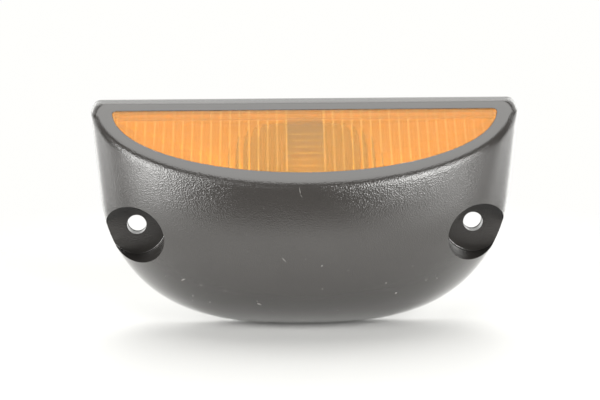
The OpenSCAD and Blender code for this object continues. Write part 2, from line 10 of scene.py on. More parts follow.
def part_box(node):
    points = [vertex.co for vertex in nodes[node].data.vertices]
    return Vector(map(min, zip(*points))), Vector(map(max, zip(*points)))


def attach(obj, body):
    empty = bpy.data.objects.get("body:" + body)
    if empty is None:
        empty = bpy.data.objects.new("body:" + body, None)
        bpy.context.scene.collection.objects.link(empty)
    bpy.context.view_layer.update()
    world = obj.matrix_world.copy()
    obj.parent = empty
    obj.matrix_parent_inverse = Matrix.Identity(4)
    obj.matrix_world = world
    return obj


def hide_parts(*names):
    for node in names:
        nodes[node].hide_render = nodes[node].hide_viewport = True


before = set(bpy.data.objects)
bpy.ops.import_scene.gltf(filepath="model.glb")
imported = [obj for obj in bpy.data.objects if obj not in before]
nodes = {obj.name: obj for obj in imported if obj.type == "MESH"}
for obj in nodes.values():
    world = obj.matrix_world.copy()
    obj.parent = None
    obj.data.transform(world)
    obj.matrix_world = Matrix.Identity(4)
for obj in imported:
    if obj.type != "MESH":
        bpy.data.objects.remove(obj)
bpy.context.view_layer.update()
MM = 0.001

# Housing, in millimetres, as the solids have it
BODY_W, TOP_H, LOW_H = 126.0, 37.0, 31.0
CROWN_D, CROWN_Y, CROWN_RISE, CROWN_ROUND = 33.5, 10.6, 43.0, 1.8
SIDE_LEAN, BEND_Y, BEND_POW, BEND_ROUND = math.radians(4.75), 10.0, 2.13, 3.125
SECTION_TOP, SECTION_MID, SECTION_REACH = 2.98, 2.23, 1.6
CORNER_R, WALL = 3.0, 2.4
RIM_START, RIM_ANGLE, RIM_R = 3.8, math.radians(56.7), 2.0
HOLE_X, HOLE_R = 50.0, 2.9
WELL_R, FLOOR_T, WELL_DRAFT, WELL_WALL = 8.95, 3.4, math.radians(0.5), 2.0
BOSS_R, PILOT_R, SCREW_LEN = 3.2, 1.55, 9.0
BOSS_PLACES = [(54, 20), (-54, 20), (26, -16), (-26, -16)]
GASKET_T, COVER_T = 1.5, 2.5

# Lens and reflector, in millimetres, as the solids have them
LENS_W, LENS_H, LENS_R, RIM_TOP_W = 112.4, 26.0, 1.2, 3.95
FLUTE_PITCH, FLUTE_DEPTH, BAND_PITCH = 2.72, 0.35, 2.6
FLANGE_W, FLANGE_H = 1.2, 3.0
MIRROR_T, MIRROR_H = 0.9, 4.2
ARCH_W, ARCH_TOP, ARCH_LOW, ARCH_R = 38.0, 29.4, 6.0, 10.0
BULB_Z, NOTCH_R, NOTCH_Y = 11.8, 10.45, 7.0

# Closer, thinner or shallower here than in the solids, in millimetres
LENS_BEVEL, FACE_H, FACE_GAP = 0.04, 0.04, 0.02
BACK_H, SKIRT_W, MIRROR_LIP, BAND_DEPTH = 2.0, 0.6, 0.4, 0.015

# Small roundings that the solids leave out, in millimetres
FACE_R, WELL_FILLET, HOLE_CHAMFER = 0.15, 0.4, 0.15

# Plain strip and flutes to each side of the middle, and cross flutes, as counts of pitches
PLAIN_HALF, FLUTE_N, BAND_N = 2, 18, 11

# Steps of the meshes
TOP_N, CORNER_N, SIDE_N = 40, 10, 130
SKIN_N, EDGE_N, INNER_N, DISH_N = 56, 8, 16, 32
ROUND_N, BOSS_N, PILOT_N, NOTCH_N = 128, 48, 32, 48
ARC_N, FACE_N, FILLET_N = 12, 4, 5
HALVINGS = 40

# How far a cutting solid reaches past what it cuts, in millimetres
OVER = 1

# Smallest radii of an inset corner and least half width of the skin, in millimetres
LEAST_R, LEAST_LENS_R, LEAST_W = 0.4, 0.3, 0.01

# Share of a rib over which its slope is taken, and the most of it that the rounded edge may use
SLOPE_STEP, MOST_ROUND = 0.1, 0.5

# Points this near are one, in metres, and edges duller than this are smooth
WELD, SMOOTH_DEG = 1e-7, 30

# Zones of every outline
TOP, CORNER, SIDE = 0, 1, 2


# Shape of the housing's skin

def clamp(value, low, high):
    return min(max(value, low), high)


def half_w(y, inset):
    """Half the width at height y of the skin that lies inset from the outer one."""
    bend = clamp((BEND_Y - y)/(BEND_Y + LOW_H - inset), 0, 1)
    return (BODY_W/2 - (TOP_H - y)*math.tan(SIDE_LEAN) - inset)*(1 - bend**BEND_POW)**(1/BEND_ROUND)


def crown(y, inset):
    """Greatest depth of that skin at height y."""
    if y < CROWN_Y:
        below = (CROWN_Y - y)/(CROWN_Y + LOW_H - inset)
        return (CROWN_D - inset)*max(0, 1 - below**2)**(1/CROWN_ROUND)
    return (CROWN_D - inset)*math.sqrt(1 - ((y - CROWN_Y)/CROWN_RISE)**2)


def section_pow(y):
    """How square the level section of the crown is at height y."""
    return SECTION_TOP + (SECTION_MID - SECTION_TOP)*clamp((TOP_H - y)/TOP_H, 0, SECTION_REACH)


def dome(x, y, inset):
    """Depth of the uncut skin over the point x, y of the back."""
    w = max(half_w(y, inset), LEAST_W)
    return crown(y, inset)*max(0, 1 - min(abs(x)/w, 1)**2)**(1/section_pow(y))


def rim_z(y, inset):
    """Depth of the plane of the rim at height y."""
    return RIM_START + (TOP_H - y)*math.tan(RIM_ANGLE) - inset/math.cos(RIM_ANGLE)


def cut_x(y, inset):
    """Half the length of the level line where the crown meets the plane of the rim."""
    share = (rim_z(y, inset)/crown(y, inset))**section_pow(y)
    return half_w(y, inset)*math.sqrt(max(0, 1 - share))


def cut_low(inset):
    """Lowest height at which the crown meets the plane of the rim."""
    low, high = CROWN_Y, TOP_H
    for _ in range(HALVINGS):
        middle = (low + high)/2
        if rim_z(middle, inset) > crown(middle, inset):
            low = middle
        else:
            high = middle
    return (low + high)/2


def on_rim(at, out):
    """Point given by x across and a length down the slant, and out of the plane of the rim."""
    across, down = at
    c, s = math.cos(RIM_ANGLE), math.sin(RIM_ANGLE)
    return np.array((across, TOP_H - down*c + out*s, RIM_START + down*s + out*c))


# Stations round every outline: zone, share of the zone and side, from the middle of the top clockwise
HALF = [(TOP, i/TOP_N, 1) for i in range(TOP_N)]
HALF += [(CORNER, i/CORNER_N, 1) for i in range(CORNER_N)]
HALF += [(SIDE, i/SIDE_N, 1) for i in range(SIDE_N + 1)]
STATIONS = HALF + [(zone, share, -1) for zone, share, _ in HALF[-2:0:-1]]


def outline_at(station, inset):
    """Point of the back edge of the skin."""
    zone, share, side = station
    top, r = TOP_H - inset, max(CORNER_R - inset, LEAST_R)
    side_y = top - r
    turn = math.pi/2*share
    if zone == TOP:
        return np.array((side*(half_w(side_y, inset) - r)*share, top))
    if zone == CORNER:
        x = half_w(side_y, inset) - r + r*math.sin(turn)
        return np.array((side*x, side_y + r*math.cos(turn)))
    y = side_y - (side_y + LOW_H - inset)*math.sin(turn)
    return np.array((side*half_w(y, inset), y))


def cut_at(station, inset, low):
    """Point of the line where the skin meets the plane of the rim."""
    zone, share, side = station
    top, r = TOP_H - inset, max(CORNER_R - inset, LEAST_R)
    side_y = top - r
    turn = math.pi/2*share
    corner_x = cut_x(side_y, inset) - r
    if zone == TOP:
        x, y = corner_x*share, top
    elif zone == CORNER:
        x, y = corner_x + r*math.sin(turn), side_y + r*math.cos(turn)
    else:
        y = side_y - (side_y - low)*math.sin(turn)
        x = cut_x(y, inset)
    return np.array((side*x, y, rim_z(y, inset)))


def lens_at(station, extra):
    """Lens outline in the plane of the rim, extra wider all round: x across and length down the slant."""
    zone, share, side = station
    a, b = LENS_W/2 + extra, LENS_H + extra
    r = max(LENS_R + extra, LEAST_LENS_R)
    start = math.asin((r - extra)/b)
    corner_x = a*math.cos(start) - r
    turn = math.pi/2*share
    phi = start + (math.pi/2 - start)*share
    if zone == TOP:
        x, down = corner_x*share, 0
    elif zone == CORNER:
        x, down = corner_x + r*math.sin(turn), r - r*math.cos(turn)
    else:
        x, down = a*math.cos(phi), extra + b*math.sin(phi)
    return (side*x, RIM_TOP_W - extra + down)


def skin_at(station, back, cut, share, inset):
    """Point of the skin a share of the way from the back edge to the rim."""
    x, y = back[0] + (cut[0] - back[0])*share, back[1] + (cut[1] - back[1])*share
    return np.array((x, y, dome(x, y, inset) if station[0] == SIDE else cut[2]*share))


def spread(station):
    """Power that crowds the points of a rib towards the back edge, where a side starts steeply."""
    return 2 if station[0] == SIDE else 1


def outer_rib(station, low):
    """Points from the back edge over the skin and the rounded edge to the lens opening."""
    back, cut = outline_at(station, 0), cut_at(station, 0, low)
    near = skin_at(station, back, cut, 1 - SLOPE_STEP, 0)
    stop = 1 - min(RIM_R/(np.linalg.norm(cut - near)/SLOPE_STEP), MOST_ROUND)
    start = skin_at(station, back, cut, stop, 0)
    edge = on_rim(lens_at(station, LENS_BEVEL), 0)
    end = cut + (edge - cut)*min(RIM_R/np.linalg.norm(edge - cut), MOST_ROUND)
    power = spread(station)
    rib = [skin_at(station, back, cut, stop*(j/SKIN_N)**power, 0) for j in range(SKIN_N)]
    for j in range(EDGE_N + 1):
        u = j/EDGE_N
        rib.append((1 - u)**2*start + 2*u*(1 - u)*cut + u*u*end)
    return rib + [edge, on_rim(lens_at(station, 0), -LENS_BEVEL)]


def inner_rib(station, low):
    """Points from the inside of the rim back along the inside of the skin."""
    back, cut = outline_at(station, WALL), cut_at(station, WALL, low)
    power = spread(station)
    return [on_rim(lens_at(station, 0), -WALL)] + [
        skin_at(station, back, cut, (j/INNER_N)**power, WALL) for j in range(INNER_N, -1, -1)]


# Meshes

def place(point):
    """From the lying frame of the shapes above, in millimetres, to the upright frame in metres."""
    x, y, z = point
    return (x*MM, -(z + GASKET_T)*MM, y*MM)


def mesh_from(name, points, faces):
    mesh = bpy.data.meshes.new(name)
    mesh.from_pydata([place(point) for point in points], [], faces)
    tidy = bmesh.new()
    tidy.from_mesh(mesh)
    bmesh.ops.remove_doubles(tidy, verts=tidy.verts, dist=WELD)
    bmesh.ops.recalc_face_normals(tidy, faces=tidy.faces)
    tidy.to_mesh(mesh)
    tidy.free()
    piece = bpy.data.objects.new(name, mesh)
    bpy.context.scene.collection.objects.link(piece)
    return piece


def ring_loft(name, ribs):
    """Closed tube through ribs that follow one another in a ring."""
    n, m = len(ribs), len(ribs[0])
    faces = [(i*m + j, i*m + (j + 1) % m, (i + 1) % n*m + (j + 1) % m, (i + 1) % n*m + j)
             for i in range(n) for j in range(m)]
    return mesh_from(name, [point for rib in ribs for point in rib], faces)


def stack(name, rings):
    """Closed solid through outlines of equal length, flat at the first and the last."""
    n, m = len(rings), len(rings[0])
    faces = [(j*m + k, j*m + (k + 1) % m, (j + 1)*m + (k + 1) % m, (j + 1)*m + k)
             for j in range(n - 1) for k in range(m)]
    faces += [list(range(m)), list(range((n - 1)*m, n*m))]
    return mesh_from(name, [point for ring in rings for point in ring], faces)


def filled_skin(name, inset):
    """Solid out to the skin, open nowhere, that trims what stands inside the housing."""
    low = cut_low(inset)
    ribs = []
    for station in STATIONS:
        back, cut = outline_at(station, inset), cut_at(station, inset, low)
        power = spread(station)
        ribs.append([skin_at(station, back, cut, (j/INNER_N)**power, inset) for j in range(INNER_N + 1)])
    n, m = len(ribs), INNER_N + 1
    faces = [(i*m + j, i*m + j + 1, (i + 1) % n*m + j + 1, (i + 1) % n*m + j)
             for i in range(n) for j in range(m - 1)]
    faces += [[i*m for i in range(n)], [i*m + m - 1 for i in range(n)]]
    return mesh_from(name, [point for rib in ribs for point in rib], faces)


def lathe(name, at, profile, sides=ROUND_N):
    """Solid turned about an axis square to the back: profile runs (r, z) from the axis back to it."""
    points, rows = [], []
    for r, z in profile:
        if r == 0:
            rows.append([len(points)]*sides)
            points.append((at[0], at[1], z))
        else:
            rows.append(list(range(len(points), len(points) + sides)))
            turns = [2*math.pi*k/sides for k in range(sides)]
            points += [(at[0] + r*math.cos(turn), at[1] + r*math.sin(turn), z) for turn in turns]
    faces = []
    for a, b in zip(rows, rows[1:]):
        for k in range(sides):
            face = list(dict.fromkeys((a[k], a[(k + 1) % sides], b[(k + 1) % sides], b[k])))
            if len(face) > 2:
                faces.append(face)
    return mesh_from(name, points, faces)


def rod(name, at, r, start, end, sides=ROUND_N):
    """Plain round solid from depth start to depth end."""
    return lathe(name, at, [(0, start), (r, start), (r, end), (0, end)], sides)


def combine(piece, other, operation):
    """Boolean of piece and other, applied; other goes."""
    step = piece.modifiers.new("combine", "BOOLEAN")
    step.operation, step.solver, step.object = operation, "MANIFOLD", other
    bpy.context.view_layer.update()
    result = bpy.data.meshes.new_from_object(piece.evaluated_get(bpy.context.evaluated_depsgraph_get()))
    piece.modifiers.clear()
    old = piece.data
    piece.data = result
    bpy.data.meshes.remove(old)
    bpy.data.objects.remove(other)


def smooth(piece):
    piece.data.shade_smooth()
    piece.data.set_sharp_from_angle(angle=math.radians(SMOOTH_DEG))


def add_inside(shell, post):
    """Joins a post to the shell, trimmed in the middle of its wall."""
    combine(post, filled_skin("skin", WALL/2), "INTERSECT")
    combine(shell, post, "UNION")


def well_cut(side):
    """Solid that a screw well and its fixing hole take away."""
    top = FLOOR_T + CROWN_D + OVER
    turns = np.linspace(0, math.pi/2, FILLET_N + 1)
    hole = [(0, -OVER), (HOLE_R, -OVER), (HOLE_R, FLOOR_T - HOLE_CHAMFER), (HOLE_R + HOLE_CHAMFER, FLOOR_T)]
    bend = [(WELL_R - WELL_FILLET + WELL_FILLET*math.sin(t), FLOOR_T + WELL_FILLET - WELL_FILLET*math.cos(t))
            for t in turns]
    mouth = [(WELL_R + (CROWN_D + OVER)*math.tan(WELL_DRAFT), top), (0, top)]
    return lathe("well", (side*HOLE_X, 0), hole + bend + mouth)


def build_housing():
    """Housing shell with its two screw wells and the bosses of the cover screws."""
    low, inner_low = cut_low(0), cut_low(WALL)
    ribs = [outer_rib(station, low) + inner_rib(station, inner_low) for station in STATIONS]
    shell = ring_loft("housing_shell", ribs)
    for side in (-1, 1):
        add_inside(shell, rod("tube", (side*HOLE_X, 0), WELL_R + WELL_WALL, 0, CROWN_D))
    for at in BOSS_PLACES:
        add_inside(shell, rod("boss", at, BOSS_R, COVER_T, CROWN_D, BOSS_N))
        combine(shell, rod("pilot", at, PILOT_R, COVER_T - OVER, COVER_T + SCREW_LEN, PILOT_N), "DIFFERENCE")
    for side in (-1, 1):
        combine(shell, well_cut(side), "DIFFERENCE")
    smooth(shell)
    return shell


# Side of the arch below its corners: 1 is an ellipse, less is fuller
ARCH_POW = 0.8


def arch_at(station, extra):
    """Arched opening of the reflector, extra wider all round."""
    zone, share, side = station
    w, r, top = ARCH_W/2 + extra, ARCH_R + extra, ARCH_TOP + extra
    side_y = top - r
    turn = math.pi/2*share
    if zone == TOP:
        x, y = (w - r)*share, top
    elif zone == CORNER:
        x, y = w - r + r*math.sin(turn), side_y + r*math.cos(turn)
    else:
        x = w*math.sqrt(max(math.cos(turn), 0))
        y = side_y - (side_y + ARCH_LOW + extra)*math.sin(turn)**ARCH_POW
    return np.array((side*x, y))


def dish_at(start, foot, share):
    """Point of the dish a share of the way from its start at the lens to its foot."""
    turn = math.pi/2*share
    s = math.sin(turn)
    return np.array((start[0] + (foot[0] - start[0])*s, start[1] + (foot[1] - start[1])*s,
                     COVER_T + (start[2] - COVER_T)*math.cos(turn)))


def mirror_rib(station):
    """One closed section of the reflector: dish, foot, back of the dish and flange."""
    low_h = -MIRROR_H - MIRROR_T
    front, front_foot = on_rim(lens_at(station, -MIRROR_LIP), -MIRROR_H), arch_at(station, 0)
    back, back_foot = on_rim(lens_at(station, MIRROR_T - MIRROR_LIP), low_h), arch_at(station, MIRROR_T)
    rib = [dish_at(front, front_foot, j/DISH_N) for j in range(DISH_N + 1)]
    rib += [dish_at(back, back_foot, j/DISH_N) for j in range(DISH_N, -1, -1)]
    flange = lens_at(station, FLANGE_W)
    return rib + [on_rim(flange, low_h), on_rim(flange, -MIRROR_H)]


def bulb_notch():
    """Upright solid that clears the bulb where it stands in the bottom of the dish."""
    turns = np.linspace(0, math.pi, NOTCH_N + 1)
    arc = [(NOTCH_R*math.cos(t), BULB_Z + NOTCH_R*math.sin(t)) for t in turns]
    outline = [(NOTCH_R, 0)] + arc + [(-NOTCH_R, 0)]
    return stack("notch", [[(x, y, z) for x, z in outline] for y in (-LOW_H, NOTCH_Y)])


def build_mirror():
    dish = ring_loft("mirror_dish", [mirror_rib(station) for station in STATIONS])
    combine(dish, bulb_notch(), "DIFFERENCE")
    smooth(dish)
    return dish


def lens_ring(extra, out):
    return [on_rim(lens_at(station, extra), out) for station in STATIONS]


def scallop(pitch, depth, share):
    """Height of a round flute at a share of its width."""
    r = ((pitch/2)**2 + depth**2)/(2*depth)
    return math.sqrt(r*r - ((share - 0.5)*pitch)**2) - (r - depth)


def fluted_core():
    """What the lens has taken out behind: a plain strip at the middle and round flutes at both sides."""
    half = [(0, -BACK_H), (PLAIN_HALF*FLUTE_PITCH, -BACK_H)]
    for k in range(FLUTE_N):
        for j in range(1, ARC_N + 1):
            rise = scallop(FLUTE_PITCH, FLUTE_DEPTH, j/ARC_N)
            half.append(((PLAIN_HALF + k + j/ARC_N)*FLUTE_PITCH, rise - BACK_H))
    half.append((LENS_W/2, -BACK_H))
    line = [(-x, out) for x, out in half[:0:-1]] + half

    # The profile and its trim both reach through the back of the lens
    foot = -3*MIRROR_H
    profile = line + [(LENS_W/2, foot), (-LENS_W/2, foot)]
    ends = (-LENS_BEVEL, LENS_H + 2*RIM_TOP_W)
    core = stack("core", [[on_rim((x, down), out) for x, out in profile] for down in ends])
    skirt = -FACE_GAP - SKIRT_W
    inside = stack("inside_skirt", [lens_ring(skirt, -2*MIRROR_H), lens_ring(skirt, BACK_H)])
    combine(core, inside, "INTERSECT")
    return core


def cross_flutes():
    """What the shallow level flutes take off the face."""
    line = [(RIM_TOP_W + (k + j/ARC_N)*BAND_PITCH, -FACE_H - scallop(BAND_PITCH, BAND_DEPTH, j/ARC_N))
            for k in range(BAND_N) for j in range(ARC_N)]
    profile = line + [(line[-1][0], OVER), (line[0][0], OVER)]
    return stack("bands", [[on_rim((x, down), out) for down, out in profile] for x in (-LENS_W, LENS_W)])


def build_lens():
    """Lens with a rounded edge and a flange, flutes behind and cross flutes on its face."""
    turns = np.linspace(0, math.pi/2, FACE_N + 1)
    rings = [lens_ring(-FACE_GAP - FACE_R + FACE_R*math.sin(t), -FACE_H - FACE_R + FACE_R*math.cos(t))
             for t in turns]
    rings.append(lens_ring(-FACE_GAP, -FLANGE_H))
    rings += [lens_ring(FLANGE_W, out) for out in (-FLANGE_H, -MIRROR_H)]
    lens = stack("lens_window", rings)
    combine(lens, fluted_core(), "DIFFERENCE")
    combine(lens, cross_flutes(), "DIFFERENCE")
    smooth(lens)
    return lens


# Nodes of the materials

CLOUD_DETAIL, PIT_DETAIL, LEAST_ROUGH = 4, 3, 0.02


def link(tree, out, into):
    tree.links.new(out, into)


def node(tree, kind, **values):
    """New node with its inputs or settings given by name."""
    made = tree.nodes.new(kind)
    for key, value in values.items():
        if key in made.inputs:
            made.inputs[key].default_value = value
        else:
            setattr(made, key, value)
    return made


def maths(tree, operation, a, b=None):
    """Output of a maths node; a and b are numbers or sockets."""
    made = tree.nodes.new("ShaderNodeMath")
    made.operation = operation
    for k, value in enumerate((a, b)):
        if value is None:
            continue
        if isinstance(value, (int, float)):
            made.inputs[k].default_value = value
        else:
            link(tree, value, made.inputs[k])
    return made.outputs[0]


def product(tree, first, *others):
    for other in others:
        first = maths(tree, "MULTIPLY", first, other)
    return first


def off_whole(tree, value):
    """How far a value lies from the nearest whole number."""
    return maths(tree, "ABSOLUTE", maths(tree, "SUBTRACT", value, maths(tree, "ROUND", value)))


def ramp(tree, value, low, high, to_low=0.0, to_high=1.0):
    """Smooth step of value from to_low at low to to_high at high."""
    made = node(tree, "ShaderNodeMapRange", interpolation_type="SMOOTHSTEP")
    for key, limit in (("From Min", low), ("From Max", high), ("To Min", to_low), ("To Max", to_high)):
        made.inputs[key].default_value = limit
    link(tree, value, made.inputs["Value"])
    return made.outputs["Result"]


def mix_colours(tree, share, a, b):
    """Colour a share of the way from a to b; a and b are colours or sockets."""
    mix = tree.nodes.new("ShaderNodeMix")
    mix.data_type = "RGBA"
    link(tree, share, mix.inputs["Factor"])
    for key, value in (("A", a), ("B", b)):
        if isinstance(value, bpy.types.NodeSocket):
            link(tree, value, mix.inputs[key])
        else:
            mix.inputs[key].default_value = value
    return mix.outputs["Result"]


def tint(tree, shader, share, colour):
    """Mixes a share of another colour into the base colour."""
    old = shader.inputs["Base Color"].links[0].from_socket
    link(tree, mix_colours(tree, share, old, (*colour, 1)), shader.inputs["Base Color"])


def place_in(tree):
    """Object coordinates, and their x, y and z."""
    at = node(tree, "ShaderNodeTexCoord").outputs["Object"]
    split = node(tree, "ShaderNodeSeparateXYZ")
    link(tree, at, split.inputs[0])
    return at, split.outputs["X"], split.outputs["Y"], split.outputs["Z"]


def out_of_rim(tree, vector):
    """Part of a vector that points out of the plane of the rim."""
    dot = node(tree, "ShaderNodeVectorMath", operation="DOT_PRODUCT")
    link(tree, vector, dot.inputs[0])
    dot.inputs[1].default_value = (0, -math.cos(RIM_ANGLE), math.sin(RIM_ANGLE))
    return dot.outputs["Value"]


def finish(name, colour, rough, metal=0.0, vary=0.12, vary_scale=90, rough_vary=0.08,
           grain=None, transmission=0.0, ior=1.5):
    """Material whose colour and gloss wander; grain is a bump's scale per metre and depth in metres."""
    mat = bpy.data.materials.new(name)
    mat.use_nodes = True
    tree = mat.node_tree
    shader = tree.nodes["Principled BSDF"]
    shader.inputs["Metallic"].default_value = metal
    shader.inputs["Transmission Weight"].default_value = transmission
    shader.inputs["IOR"].default_value = ior
    at = node(tree, "ShaderNodeTexCoord").outputs["Object"]
    cloud = node(tree, "ShaderNodeTexNoise", Scale=vary_scale, Detail=CLOUD_DETAIL)
    link(tree, at, cloud.inputs["Vector"])
    darker = [max(part*(1 - vary), 0) for part in colour] + [1]
    lighter = [min(part*(1 + vary), 1) for part in colour] + [1]
    link(tree, mix_colours(tree, cloud.outputs["Fac"], darker, lighter), shader.inputs["Base Color"])
    gloss = node(tree, "ShaderNodeMapRange")
    gloss.inputs["To Min"].default_value = max(rough - rough_vary, LEAST_ROUGH)
    gloss.inputs["To Max"].default_value = min(rough + rough_vary, 1)
    link(tree, cloud.outputs["Fac"], gloss.inputs["Value"])
    link(tree, gloss.outputs["Result"], shader.inputs["Roughness"])
    if grain:
        scale, depth = grain
        pits = node(tree, "ShaderNodeTexNoise", Scale=scale, Detail=PIT_DETAIL)
        link(tree, at, pits.inputs["Vector"])
        bump = node(tree, "ShaderNodeBump", Strength=1.0, Distance=depth)
        link(tree, pits.outputs["Fac"], bump.inputs["Height"])
        link(tree, bump.outputs["Normal"], shader.inputs["Normal"])
    return mat


def dress(piece, mat):
    piece.data.materials.clear()
    piece.data.materials.append(mat)


# Plastic of the housing: scales per metre, heights and depths in metres
HOUSING_COLOUR, HOUSING_ROUGH, HOUSING_IOR = (0.028, 0.0261, 0.0247), 0.10, 1.55
GRAIN_SCALE, GRAIN_SOFT, GRAIN_DEPTH, GRAIN_LOW = 2700, 0.4, 0.00006, 0.2
GRAIN_Z, RIM_FACING = (-0.022, 0.012), (0.97, 0.999)
DUST_SCALE, DUST_SIZE, DUST_PICK = 420, (0.11, 0.04), (0.72, 0.95)
DUST_Z, DUST_SHARE, DUST_Y = (-0.002, -0.016), (0.06, 0.36), (-0.0105, -0.0115)
DUST_COLOUR, MARK_SHARE, MARK_FADE = (0.42, 0.41, 0.39), 0.35, (1.0, 0.5)

# Marks on the front of the housing: x and z in mm, turn in degrees, half length and half width in mm
MARKS = [
    ((-13.8, -20.2), -25, 0.8, 0.3), ((-23.6, -15.7), 0, 0.25, 0.2), ((-33.2, -18.8), 20, 0.3, 0.25),
    ((-28.2, -20.6), 0, 0.22, 0.22), ((-35.8, -12.8), 30, 0.8, 0.25), ((-1.9, 16.1), 100, 1.2, 0.08),
    ((-1.5, 14.6), 120, 0.6, 0.07), ((-6.5, -4.5), -50, 1.1, 0.11), ((4.3, -6.5), 60, 0.35, 0.2),
    ((23.0, -13.3), 0, 0.3, 0.25), ((34.9, -13.7), 10, 0.3, 0.2), ((38.2, -13.5), 0, 0.25, 0.2),
    ((26.1, -17.4), 40, 0.5, 0.3), ((0.0, -27.8), 0, 0.9, 0.25), ((-30.6, -14.2), 70, 0.3, 0.2),
]


def mark(tree, x, z, at, turn, half_length, half_width):
    """1 on a small oblong mark at x, z on the front, turned anticlockwise, fading to 0 round it."""
    c, s = math.cos(math.radians(turn)), math.sin(math.radians(turn))
    dx, dz = maths(tree, "SUBTRACT", x, at[0]*MM), maths(tree, "SUBTRACT", z, at[1]*MM)
    along_x, along_z = product(tree, dx, c/half_length/MM), product(tree, dz, s/half_length/MM)
    across_z, across_x = product(tree, dz, c/half_width/MM), product(tree, dx, s/half_width/MM)
    along = maths(tree, "ADD", along_x, along_z)
    across = maths(tree, "SUBTRACT", across_z, across_x)
    squares = maths(tree, "ADD", maths(tree, "POWER", along, 2.0), maths(tree, "POWER", across, 2.0))
    return ramp(tree, maths(tree, "SQRT", squares), *MARK_FADE)


def grained_plastic():
    """Dark moulded plastic with grain, dust and small scratches."""
    mat = finish("housing_grain", HOUSING_COLOUR, HOUSING_ROUGH, vary=0.1, vary_scale=60, rough_vary=0.02,
                 ior=HOUSING_IOR)
    tree = mat.node_tree
    shader = tree.nodes["Principled BSDF"]
    at, x, y, z = place_in(tree)

    # The moulded grain: none on the flat rim, deepest under it and shallow towards the bottom
    normal = node(tree, "ShaderNodeNewGeometry").outputs["True Normal"]
    off_rim = ramp(tree, out_of_rim(tree, normal), *RIM_FACING, 1.0, 0.0)
    depth = product(tree, off_rim, ramp(tree, z, *GRAIN_Z, GRAIN_LOW, 1.0))
    cells = node(tree, "ShaderNodeTexVoronoi", Scale=GRAIN_SCALE, feature="SMOOTH_F1", Smoothness=GRAIN_SOFT)
    link(tree, at, cells.inputs["Vector"])
    bump = node(tree, "ShaderNodeBump", Distance=GRAIN_DEPTH)
    link(tree, depth, bump.inputs["Strength"])
    link(tree, cells.outputs["Distance"], bump.inputs["Height"])
    link(tree, bump.outputs["Normal"], shader.inputs["Normal"])

    # Dust and small scratches, on the front of the skin alone
    specks = node(tree, "ShaderNodeTexVoronoi", Scale=DUST_SCALE)
    link(tree, at, specks.inputs["Vector"])
    pick = node(tree, "ShaderNodeSeparateColor")
    link(tree, specks.outputs["Color"], pick.inputs[0])
    small = ramp(tree, specks.outputs["Distance"], *DUST_SIZE)
    chosen = ramp(tree, pick.outputs[0], *DUST_PICK)
    dust = product(tree, small, chosen, ramp(tree, z, *DUST_Z, *DUST_SHARE))
    for centre, turn, half_length, half_width in MARKS:
        speck = mark(tree, x, z, centre, turn, half_length, half_width)
        dust = maths(tree, "MAXIMUM", dust, product(tree, speck, MARK_SHARE))
    tint(tree, shader, product(tree, dust, ramp(tree, y, *DUST_Y)), DUST_COLOUR)
    return mat


# Plastic of the lens: its colour, the colours of its painted shade, painted light and painted highlights,
# and how much of each is mixed in
AMBER_COLOUR, AMBER_ROUGH = (0.755, 0.35, 0.025), 0.08
AMBER_CLEAR, AMBER_IOR, AMBER_SHINE = 0.77, 1.36, 0.16
PLAIN_SHADE_COLOUR, PLAIN_SHADE_SHARE = (0.45, 0.26, 0.08), 0.6
LIT_TOP_COLOUR, LIT_TOP_SHARE = (1.0, 0.43, 0.05), 0.6
RIDGE_HIGHLIGHT_COLOUR, RIDGE_HIGHLIGHT_SHARE, LINE_HIGHLIGHT_SHARE = (1.0, 0.56, 0.09), (0.5, 1.0), (0.3, 0.75)
EDGE_SHADE_COLOUR, EDGE_SHADE_SHARE = (0.24, 0.15, 0.07), 0.6

# Where they come and go: lengths down the slant and out of the rim in millimetres
PLAIN_SHADE_DOWN, PLAIN_SHADE_FADE = (6.5, 8.0), (31.0, 14.0)
LIT_TOP_DOWN, LIT_TOP_FADE = (4.4, 5.4), (9.5, 7.5)
LINE_DOWN, FRONT_OUT, EDGE_SHADE_DOWN = (10.0, 15.0), (-1.0, -0.5), (5.6, 3.6)

# The same in flutes from the middle, and half widths of the painted highlights on the ridges and level lines
# in pitches
PLAIN_ACROSS, FLUTED_ACROSS = (PLAIN_HALF, PLAIN_HALF - 0.1), (PLAIN_HALF - 0.2, PLAIN_HALF - 0.1)
RIDGE_ACROSS = (18.0, 4.0)
RIDGE_W, LINE_W = 0.19, 0.25


